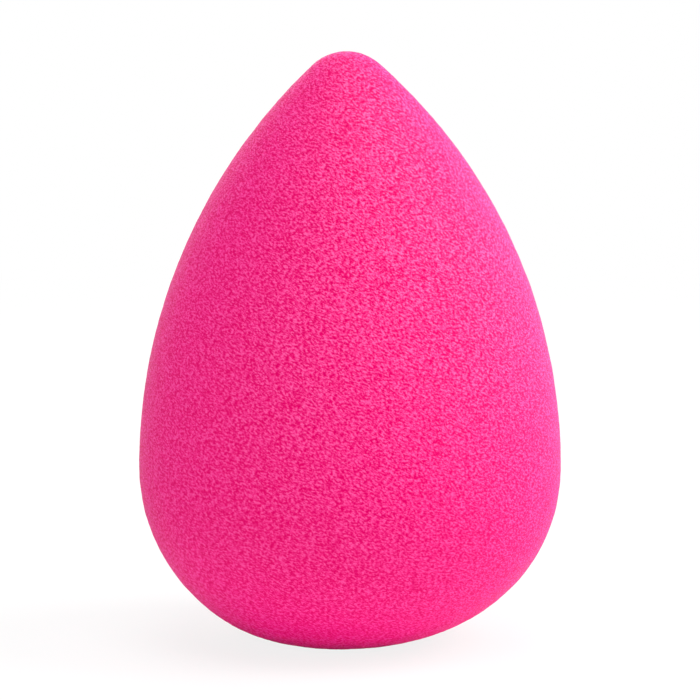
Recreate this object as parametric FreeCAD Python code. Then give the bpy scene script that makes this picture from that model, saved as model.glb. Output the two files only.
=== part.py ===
import FreeCAD, Part

import math
import os

# A teardrop makeup sponge, one piece of soft foam that stands on its round end.
# The origin is the middle of the flat foot, and +Z points up through the tip.

# Sizes in millimetres
HEIGHT = 60.0  # floor to the top of the tip
BELLY_DIAMETER = 42.8  # widest girth
BELLY_HEIGHT = 17.8  # widest girth above the floor
TIP_RADIUS = 4.9  # rounding of the narrow end
FOOT_DIAMETER = 10.0  # flat that the sponge stands on

# Angles in degrees
FOOT_EDGE_ANGLE = 5.0  # slope of the underside where it leaves the foot
FULL_TURN = 360.0

UP = FreeCAD.Vector(0, 0, 1)
OUTWARD = FreeCAD.Vector(1, 0, 0)


def point(radius, height):
    """A point of the half outline, in the XZ plane."""
    return OUTWARD * radius + UP * height


def arc_from(start, heading, end):
    """The arc that leaves start along heading and ends at end."""
    chord = end - start
    side = FreeCAD.Vector(-heading.z, 0, heading.x)
    centre = start + side * (chord.dot(chord) / (2 * chord.dot(side)))
    radius = (start - centre).Length
    middle = centre + (start + end - centre * 2).normalize() * radius
    return Part.Arc(start, middle, end).toShape()


def underside_arcs(foot_edge, belly):
    """Two arcs that swell smoothly from the edge of the foot to the upright side of the belly."""
    slope = math.radians(FOOT_EDGE_ANGLE)
    foot_heading = point(math.cos(slope), math.sin(slope))

    # Both arcs have tangents of one length, so they share a heading where they meet.
    span = belly - foot_edge
    headings = foot_heading + UP
    along = span.dot(headings)
    spread = headings.dot(headings) - 4
    tangent = (along - math.sqrt(along**2 - spread * span.dot(span))) / spread

    lower_corner = foot_edge + foot_heading * tangent
    upper_corner = belly - UP * tangent
    meeting = (lower_corner + upper_corner) / 2
    meeting_heading = (upper_corner - lower_corner).normalize()
    return [
        arc_from(foot_edge, foot_heading, meeting),
        arc_from(meeting, meeting_heading, belly),
    ]


def flank_arcs(belly, top):
    """The long arc from the belly to the tip, and the round tip that it runs into."""
    tip_centre = top - UP * TIP_RADIUS
    rise = tip_centre.z - belly.z
    flank_radius = (belly.x**2 + rise**2 - TIP_RADIUS**2) / (2 * (belly.x - TIP_RADIUS))
    flank_centre = belly - OUTWARD * flank_radius
    shoulder_normal = (tip_centre - flank_centre).normalize()
    shoulder = tip_centre + shoulder_normal * TIP_RADIUS
    shoulder_heading = point(-shoulder_normal.z, shoulder_normal.x)
    return [
        arc_from(belly, UP, shoulder),
        arc_from(shoulder, shoulder_heading, top),
    ]


def foam_body():
    """The whole sponge: its half outline turned about the vertical axis."""
    foot_centre = point(0, 0)
    foot_edge = point(FOOT_DIAMETER / 2, 0)
    belly = point(BELLY_DIAMETER / 2, BELLY_HEIGHT)
    top = point(0, HEIGHT)
    edges = [
        Part.makeLine(foot_centre, foot_edge),
        *underside_arcs(foot_edge, belly),
        *flank_arcs(belly, top),
        Part.makeLine(top, foot_centre),
    ]
    half_section = Part.Face(Part.Wire(edges))
    return half_section.revolve(foot_centre, UP, FULL_TURN)


os.makedirs("parts", exist_ok=True)
foam_body().exportStep("parts/foam_body.step")
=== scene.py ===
import math

import bpy
import numpy as np
from mathutils import Matrix, Vector, noise


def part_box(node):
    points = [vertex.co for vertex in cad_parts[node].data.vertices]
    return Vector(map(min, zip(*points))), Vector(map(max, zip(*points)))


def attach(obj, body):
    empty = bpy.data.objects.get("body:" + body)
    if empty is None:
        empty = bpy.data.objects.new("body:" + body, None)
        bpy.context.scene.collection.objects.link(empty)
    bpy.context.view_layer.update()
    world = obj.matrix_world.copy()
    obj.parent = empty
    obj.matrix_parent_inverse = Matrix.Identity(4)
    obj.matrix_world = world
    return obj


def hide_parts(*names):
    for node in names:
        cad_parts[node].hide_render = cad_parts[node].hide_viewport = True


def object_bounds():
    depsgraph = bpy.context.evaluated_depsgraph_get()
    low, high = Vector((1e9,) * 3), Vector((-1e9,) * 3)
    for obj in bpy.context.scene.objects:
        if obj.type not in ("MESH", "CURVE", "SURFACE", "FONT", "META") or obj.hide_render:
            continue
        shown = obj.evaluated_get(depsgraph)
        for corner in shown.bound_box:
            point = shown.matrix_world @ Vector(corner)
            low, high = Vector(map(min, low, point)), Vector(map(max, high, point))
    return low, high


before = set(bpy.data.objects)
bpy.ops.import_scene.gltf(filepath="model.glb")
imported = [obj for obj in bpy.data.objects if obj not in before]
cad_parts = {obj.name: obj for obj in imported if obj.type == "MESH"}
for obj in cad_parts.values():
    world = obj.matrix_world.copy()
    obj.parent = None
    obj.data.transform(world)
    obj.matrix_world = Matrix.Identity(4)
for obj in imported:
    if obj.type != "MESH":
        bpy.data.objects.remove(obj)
cad_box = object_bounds()

# Lengths are in metres and angles in radians, unless a name or a comment says otherwise.
# +Z is up, and the camera stands on the -Y side.
AXES = 3

# The foam's outline
NODE = "foam_body"
BELLY_HEIGHT = 0.0178
TIP_RADIUS = 0.0049
FOOT_RADIUS = 0.005
FOOT_EDGE_ANGLE = math.radians(5)
OUTLINE_STEPS = 600

# How far the foam leaves its axis, to the left in the photograph, and how suddenly
BEND_HEIGHT = 0.035
TIP_BEND = 0.00037
TIP_BEND_POWER = 2
FOOT_SHIFT = 0.001
FOOT_SHIFT_POWER = 5

# The foam's mesh, a cube's six sides blown up to the teardrop, and the chart of each side
SIDE_QUADS = 128
CHARTS_ACROSS = 3
CHARTS_DOWN = 2
CHART_MARGIN_SHARE = 0.006

# Lumps of the foam's skin: the distances between lumps, and how far each kind stands out
LUMP_SPACINGS = (0.0004, 0.0008, 0.0016, 0.0032)
LUMP_DEPTH = 0.00002

# The foam's grain, too fine for the mesh: cells flattened along an axis that leans to the right,
# with finer layers on top of them, each a share as strong as the one before
CELL_WIDTH = 0.00033
CELL_HEIGHT = 0.000165
CELL_LEAN = math.radians(30)
CELL_SPIN = math.radians(110)
NOISE_PER_CELL = 1.0
GRAIN_DETAIL = 2.0
GRAIN_DETAIL_SHARE = 0.7
GRAIN_DEPTH = 0.00008

# The grain's pits, flanks and ridges: the level of the noise there, and the linear colour, partly the
# foam's own grain and partly painted light: painted shade darkens the pits and a painted highlight
# makes the ridges paler
PIT_LEVEL, PIT_PINK_WITH_PAINTED_SHADE = 0.415, (0.79, 0.0, 0.152, 1)
FLANK_LEVEL, FLANK_PINK = 0.5, (0.89, 0.003, 0.25, 1)
RIDGE_LEVEL, RIDGE_PINK_WITH_PAINTED_HIGHLIGHT = 0.665, (0.93, 0.03, 0.367, 1)

# The roughness and gloss in the pits and on the ridges, and what is the same all over the foam
PIT_ROUGHNESS, RIDGE_ROUGHNESS = 0.8, 0.6
PIT_GLOSS, RIDGE_GLOSS = 0.02, 1.04
FOAM_IOR = 1.6
DIFFUSE_ROUGHNESS = 1.0
SHEEN, SHEEN_ROUGHNESS = 0.06, 0.2

# The even gloss where the skin turns away, and how soon it gets there
RIM_GLOSS, RIM_BLEND = 0.33, 0.35

# The share of the gloss on the lower half, the heights between which the rest comes back,
# and the height below which the gloss fades out towards the foot
LOW_GLOSS_SHARE = 0.7
LOW_GLOSS_HEIGHT, FULL_GLOSS_HEIGHT = 0.01, 0.036
FOOT_GLOSS_REACH = 0.007

# The photograph's camera, with the picture's scale at the sponge
IMAGE_WIDTH_PX = 700
SENSOR_WIDTH_MM = 36
CAMERA_DISTANCE = 0.45
CAMERA_ELEVATION = math.radians(8)
PIXELS_PER_METRE = 9874
AIM_HEIGHT = 0.02972

# The studio's round lamps, all at one distance: the azimuth from the camera's side towards the right
# and the elevation, both in degrees, and the power in watts
LAMP_DISTANCE = 0.8
LAMP_SIZE = 0.55
LAMPS = {
    "key": (90, 45, 4.3),
    "front_right": (45, 45, 1.4),
    "overhead": (0, 75, 3.4),
    "back_high": (180, 55, 1.4),
    "low_right": (90, 12, 2.2),
    "back_right": (135, 12, 1.5),
    "back_left": (195, 25, 1.8),
    "low_left": (315, 4, 1.1),
    "low_front": (0, 4, 1.6),
}

# The white floor and backdrop, and the share of the floor's white that is its own, less near the sponge
CARD_WHITE = (0.95, 0.95, 0.95, 1)
WHITE = (1, 1, 1, 1)
FLOOR_SIDE = 20.0
NEAR_GLOW_SHARE, FAR_GLOW_SHARE = 0.84, 1.0
NEAR_GLOW_REACH, FAR_GLOW_REACH = 0.06, 0.3


def add_object(name, data):
    """A new object in the scene."""
    made = bpy.data.objects.new(name, data)
    bpy.context.scene.collection.objects.link(made)
    return made


def empty_tree(holder):
    """The node tree of a material or a world, with nothing in it yet."""
    holder.use_nodes = True
    holder.node_tree.nodes.clear()
    return holder.node_tree


def add_node(tree, kind, inputs, **settings):
    """A shader node with its settings, and with each input linked to a socket or set to a value."""
    made = tree.nodes.new(kind)
    for name, value in settings.items():
        setattr(made, name, value)
    for name, value in inputs.items():
        if isinstance(value, bpy.types.NodeSocket):
            tree.links.new(value, made.inputs[name])
        else:
            made.inputs[name].default_value = value
    return made


def combined(tree, operation, first, second):
    """Two numbers put together by one operation."""
    return add_node(tree, "ShaderNodeMath", {0: first, 1: second}, operation=operation).outputs["Value"]


def graded(tree, value, ends, results, interpolation="LINEAR"):
    """A number that goes from one result to the other while value goes from one end to the other."""
    sockets = ("From Min", "From Max", "To Min", "To Max")
    inputs = {"Value": value, **dict(zip(sockets, (*ends, *results)))}
    grading = add_node(tree, "ShaderNodeMapRange", inputs, interpolation_type=interpolation)
    return grading.outputs["Result"]


def arc(centre, radius, start, end):
    """Radius, height and slope angle along an arc about centre, from one angle to another."""
    angles = np.linspace(start, end, OUTLINE_STEPS)
    across = centre[0] + radius * np.cos(angles)
    up = centre[1] + radius * np.sin(angles)
    return np.column_stack((across, up, angles))


def flank_arcs(belly_radius, tip_height):
    """The round tip, and the long arc from there down to the belly."""
    rise = tip_height - BELLY_HEIGHT
    flank_radius = (belly_radius**2 + rise**2 - TIP_RADIUS**2) / (2 * (belly_radius - TIP_RADIUS))
    shoulder = math.atan2(rise, flank_radius - belly_radius)
    return [
        arc((0, tip_height), TIP_RADIUS, math.pi / 2, shoulder),
        arc((belly_radius - flank_radius, BELLY_HEIGHT), flank_radius, shoulder, 0),
    ]


def underside_arcs(belly_radius):
    """Two arcs from the upright side of the belly down to the edge of the foot."""
    span = np.array((belly_radius - FOOT_RADIUS, BELLY_HEIGHT))
    foot_heading = np.array((math.cos(FOOT_EDGE_ANGLE), math.sin(FOOT_EDGE_ANGLE)))

    # Both arcs have tangents of one length, so they share a heading where they meet.
    headings = foot_heading + (0, 1)
    along = span @ headings
    spread = headings @ headings - 4
    tangent = (along - math.sqrt(along**2 - spread * (span @ span))) / spread

    corner_to_corner = span - tangent * headings
    upper_turn = math.atan2(corner_to_corner[0], corner_to_corner[1])
    lower_turn = math.pi / 2 - FOOT_EDGE_ANGLE - upper_turn
    upper_radius = tangent / math.tan(upper_turn / 2)
    lower_radius = tangent / math.tan(lower_turn / 2)
    upper_centre = np.array((belly_radius - upper_radius, BELLY_HEIGHT))
    normal = np.array((math.cos(upper_turn), -math.sin(upper_turn)))
    lower_centre = upper_centre + normal * (upper_radius - lower_radius)
    return [
        arc(upper_centre, upper_radius, 0, -upper_turn),
        arc(lower_centre, lower_radius, -upper_turn, FOOT_EDGE_ANGLE - math.pi / 2),
    ]


def foot_line():
    """The flat foot, from its edge to its middle."""
    across = np.linspace(FOOT_RADIUS, 0, OUTLINE_STEPS)
    return np.column_stack((across, np.zeros(OUTLINE_STEPS), np.full(OUTLINE_STEPS, -math.pi / 2)))


def outline():
    """Radius, height and slope angle along the half outline, from the tip to the middle of the foot."""
    _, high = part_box(NODE)
    flank = flank_arcs(high.x, high.z - TIP_RADIUS)
    return np.concatenate((*flank, *underside_arcs(high.x), foot_line()))


def cube_sphere():
    """Unit directions, quads and one chart per side of a cube blown up to a sphere."""
    steps = np.arange(SIDE_QUADS)
    across, up = (grid.ravel() for grid in np.meshgrid(steps, steps, indexing="ij"))
    corners = ((0, 0), (1, 0), (1, 1), (0, 1))
    points = []
    charts = []
    for side in range(CHARTS_ACROSS * CHARTS_DOWN):
        axis = side % AXES
        outer = side < AXES
        after, before = (axis + 1) % AXES, (axis + 2) % AXES
        first, second = (after, before) if outer else (before, after)
        cell = np.array((side % CHARTS_ACROSS, side // CHARTS_ACROSS))
        for right, top in corners:
            place = np.zeros((len(across), AXES), int)
            place[:, axis] = SIDE_QUADS if outer else 0
            place[:, first] = across + right
            place[:, second] = up + top
            points.append(place)
            share = np.column_stack((across + right, up + top)) / SIDE_QUADS
            inset = CHART_MARGIN_SHARE + share * (1 - 2 * CHART_MARGIN_SHARE)
            charts.append((cell + inset) / (CHARTS_ACROSS, CHARTS_DOWN))
    points = np.stack(points).reshape(-1, len(corners), len(across), AXES).transpose(0, 2, 1, 3)
    charts = np.stack(charts).reshape(-1, len(corners), len(across), 2).transpose(0, 2, 1, 3)
    lattice, quads = np.unique(points.reshape(-1, AXES), axis=0, return_inverse=True)
    cube = np.tan((lattice * 2 / SIDE_QUADS - 1) * math.pi / 4)
    directions = cube / np.linalg.norm(cube, axis=1, keepdims=True)
    return directions, quads.reshape(-1, len(corners)), charts.reshape(-1, 2)


def teardrop(directions):
    """Points and normals of the teardrop, with the sphere's area spread evenly over it."""
    radius, height, angle = outline().T
    mean_radius = (radius[1:] + radius[:-1]) / 2
    bands = mean_radius * np.hypot(np.diff(radius), np.diff(height))
    area_shares = np.concatenate(([0], np.cumsum(bands))) / bands.sum()
    share = (1 - directions[:, 2]) / 2
    turn = np.arctan2(directions[:, 1], directions[:, 0])
    around = np.column_stack((np.cos(turn), np.sin(turn), np.zeros(len(turn))))
    up = np.array((0, 0, 1))
    places = [np.interp(share, area_shares, values)[:, None] for values in (radius, height, angle)]
    points = around * places[0] + up * places[1]
    normals = around * np.cos(places[2]) + up * np.sin(places[2])
    return points, normals


def lump_heights(points):
    """How far the foam's skin stands out at each point."""
    heights = np.zeros(len(points))
    for spacing in LUMP_SPACINGS:
        heights += LUMP_DEPTH * np.array([noise.noise(Vector(point / spacing)) for point in points])
    return heights


def off_axis(points):
    """The points with the tip bent over a little and the underside drawn to the same side."""
    _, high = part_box(NODE)
    above = np.clip((points[:, 2] - BEND_HEIGHT) / (high.z - BEND_HEIGHT), 0, None)
    below = np.clip(1 - points[:, 2] / BELLY_HEIGHT, 0, 1)
    shift = TIP_BEND * above**TIP_BEND_POWER + FOOT_SHIFT * below**FOOT_SHIFT_POWER
    return points - np.column_stack((shift, np.zeros_like(shift), np.zeros_like(shift)))


def foam_mesh():
    """The sponge's skin as one closed mesh of even quads, standing on its flat foot."""
    directions, quads, charts = cube_sphere()
    points, normals = teardrop(directions)
    heights = lump_heights(points)
    points = off_axis(points + normals * heights[:, None])
    points[:, 2] = np.maximum(points[:, 2], 0)

    mesh = bpy.data.meshes.new("sponge_foam")
    mesh.from_pydata(points, [], quads)
    mesh.shade_smooth()
    mesh.uv_layers.new(name="OFBake").uv.foreach_set("vector", charts.ravel())
    return mesh


def foam_grain(tree, place):
    """The level of the foam's grain, a noise with flattened cells."""
    cell_axes = Matrix.Rotation(CELL_LEAN, AXES, "Y") @ Matrix.Rotation(CELL_SPIN, AXES, "Z")
    cells = add_node(
        tree,
        "ShaderNodeMapping",
        {
            "Vector": place,
            "Rotation": cell_axes.to_euler(),
            "Scale": (CELL_WIDTH, CELL_WIDTH, CELL_HEIGHT),
        },
        vector_type="TEXTURE",
    )
    grain = add_node(
        tree,
        "ShaderNodeTexNoise",
        {
            "Vector": cells.outputs["Vector"],
            "Scale": NOISE_PER_CELL,
            "Detail": GRAIN_DETAIL,
            "Roughness": GRAIN_DETAIL_SHARE,
        },
    )
    return grain.outputs["Fac"]


def foam_pink_with_painted_shade_and_highlight(tree, level):
    """Pink of the foam's grain, partly painted light: deep pink in the pits, darkened there as painted
    shade, and paler pink up to the ridges as a painted highlight.
    """
    ramp = add_node(tree, "ShaderNodeValToRGB", {"Fac": level})
    stops = ramp.color_ramp.elements
    stops[0].position, stops[0].color = PIT_LEVEL, PIT_PINK_WITH_PAINTED_SHADE
    stops[1].position, stops[1].color = RIDGE_LEVEL, RIDGE_PINK_WITH_PAINTED_HIGHLIGHT
    stops.new(FLANK_LEVEL).color = FLANK_PINK
    return ramp.outputs["Color"]


def foam_gloss(tree, place, level):
    """Gloss on the ridges: even at the rims, weaker on the lower half, and none at the foot."""
    ridges = graded(tree, level, (PIT_LEVEL, RIDGE_LEVEL), (PIT_GLOSS, RIDGE_GLOSS))
    facing = add_node(tree, "ShaderNodeLayerWeight", {"Blend": RIM_BLEND}).outputs["Facing"]
    rims = graded(tree, facing, (0, 1), (ridges, RIM_GLOSS))
    height = add_node(tree, "ShaderNodeSeparateXYZ", {"Vector": place}).outputs["Z"]
    low_to_full = (LOW_GLOSS_HEIGHT, FULL_GLOSS_HEIGHT)
    share = graded(tree, height, low_to_full, (LOW_GLOSS_SHARE, 1), "SMOOTHSTEP")
    gloss = combined(tree, "MULTIPLY", rims, share)
    return graded(tree, height, (0, FOOT_GLOSS_REACH), (0, gloss), "SMOOTHSTEP")


def foam_material():
    """Matte pink foam: deep pits that hardly shine, with painted shade in their colour, and paler
    ridges that catch the light, with a painted highlight in their colour.
    """
    material = bpy.data.materials.new("pink_foam")
    tree = empty_tree(material)
    place = add_node(tree, "ShaderNodeTexCoord", {}).outputs["Object"]
    level = foam_grain(tree, place)
    bump = add_node(tree, "ShaderNodeBump", {"Height": level, "Distance": GRAIN_DEPTH})
    roughness = graded(tree, level, (PIT_LEVEL, RIDGE_LEVEL), (PIT_ROUGHNESS, RIDGE_ROUGHNESS))
    foam = add_node(
        tree,
        "ShaderNodeBsdfPrincipled",
        {
            # The base colour carries painted shade in the pits and a painted highlight on the ridges
            "Base Color": foam_pink_with_painted_shade_and_highlight(tree, level),
            "Normal": bump.outputs["Normal"],
            "Roughness": roughness,
            "IOR": FOAM_IOR,
            "Specular IOR Level": foam_gloss(tree, place, level),
            "Sheen Weight": SHEEN,
            "Sheen Roughness": SHEEN_ROUGHNESS,
            "Diffuse Roughness": DIFFUSE_ROUGHNESS,
        },
    )
    add_node(tree, "ShaderNodeOutputMaterial", {"Surface": foam.outputs["BSDF"]})
    return material


def sponge():
    """The foam piece, in the place of its plain solid."""
    piece = add_object("sponge_foam", foam_mesh())
    piece.data.materials.append(foam_material())
    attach(piece, "root")
    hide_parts(NODE)


def seen_directly(tree):
    """1 where the camera sees a surface, directly, mirrored or through glass, and 0 for other light."""
    path = add_node(tree, "ShaderNodeLightPath", {}).outputs
    through_another = combined(tree, "MAXIMUM", path["Is Glossy Ray"], path["Is Transmission Ray"])
    return combined(tree, "MAXIMUM", path["Is Camera Ray"], through_another)


def floor_material():
    """White card that looks white whatever light falls on it, and still shows a faint shadow."""
    material = bpy.data.materials.new("white_floor")
    tree = empty_tree(material)
    card = add_node(tree, "ShaderNodeBsdfDiffuse", {"Color": CARD_WHITE})
    glow = add_node(tree, "ShaderNodeEmission", {"Color": WHITE})
    place = add_node(tree, "ShaderNodeTexCoord", {}).outputs["Object"]
    reach = add_node(tree, "ShaderNodeVectorMath", {0: place}, operation="LENGTH").outputs["Value"]
    near_to_far = (NEAR_GLOW_REACH, FAR_GLOW_REACH)
    glow_share = graded(tree, reach, near_to_far, (NEAR_GLOW_SHARE, FAR_GLOW_SHARE), "SMOOTHSTEP")
    seen_share = combined(tree, "MULTIPLY", seen_directly(tree), glow_share)
    both = add_node(
        tree,
        "ShaderNodeMixShader",
        {0: seen_share, 1: card.outputs["BSDF"], 2: glow.outputs["Emission"]},
    )
    add_node(tree, "ShaderNodeOutputMaterial", {"Surface": both.outputs["Shader"]})
    return material


def studio_floor():
    """A plain white floor that keeps the sponge's shadow."""
    side = FLOOR_SIDE / 2
    corners = [(-side, -side, 0), (side, -side, 0), (side, side, 0), (-side, side, 0)]
    mesh = bpy.data.meshes.new("floor")
    mesh.from_pydata(corners, [], [(0, 1, 2, 3)])
    mesh.materials.append(floor_material())
    floor = add_object("floor", mesh)


def studio_world():
    """A backdrop that looks white all round and sheds no light of its own."""
    world = bpy.data.worlds.new("studio")
    bpy.context.scene.world = world
    tree = empty_tree(world)
    backdrop = add_node(tree, "ShaderNodeBackground", {"Color": WHITE, "Strength": seen_directly(tree)})
    add_node(tree, "ShaderNodeOutputWorld", {"Surface": backdrop.outputs["Background"]})


def softbox(name, azimuth, elevation, power):
    """A round lamp that faces the sponge."""
    lamp = bpy.data.lights.new(name, "AREA")
    lamp.shape = "DISK"
    lamp.size = LAMP_SIZE
    lamp.energy = power
    holder = add_object(name, lamp)
    turn, lift = math.radians(azimuth), math.radians(elevation)
    level_reach = math.cos(lift)
    toward = Vector((math.sin(turn) * level_reach, -math.cos(turn) * level_reach, math.sin(lift)))
    holder.location = Vector((0, 0, AIM_HEIGHT)) + toward * LAMP_DISTANCE
    holder.rotation_euler = (-toward).to_track_quat("-Z", "Y").to_euler()


def photo_camera():
    """The camera of the photograph, with a long lens a little above the sponge's middle."""
    lens = bpy.data.cameras.new("camera")
    lens.sensor_width = SENSOR_WIDTH_MM
    lens.lens = PIXELS_PER_METRE * CAMERA_DISTANCE / IMAGE_WIDTH_PX * SENSOR_WIDTH_MM
    camera = add_object("camera", lens)
    low, high = cad_box
    back = Vector((0, -math.cos(CAMERA_ELEVATION), math.sin(CAMERA_ELEVATION)))
    camera.location = (low + high) / 2 + back * CAMERA_DISTANCE
    aim = Vector((0, 0, AIM_HEIGHT))
    camera.rotation_euler = (aim - camera.location).to_track_quat("-Z", "Y").to_euler()
    bpy.context.scene.camera = camera


sponge()
studio_floor()
studio_world()
for lamp, (azimuth, elevation, power) in LAMPS.items():
    softbox(lamp, azimuth, elevation, power)
photo_camera()
bpy.context.scene.view_settings.view_transform = "Standard"
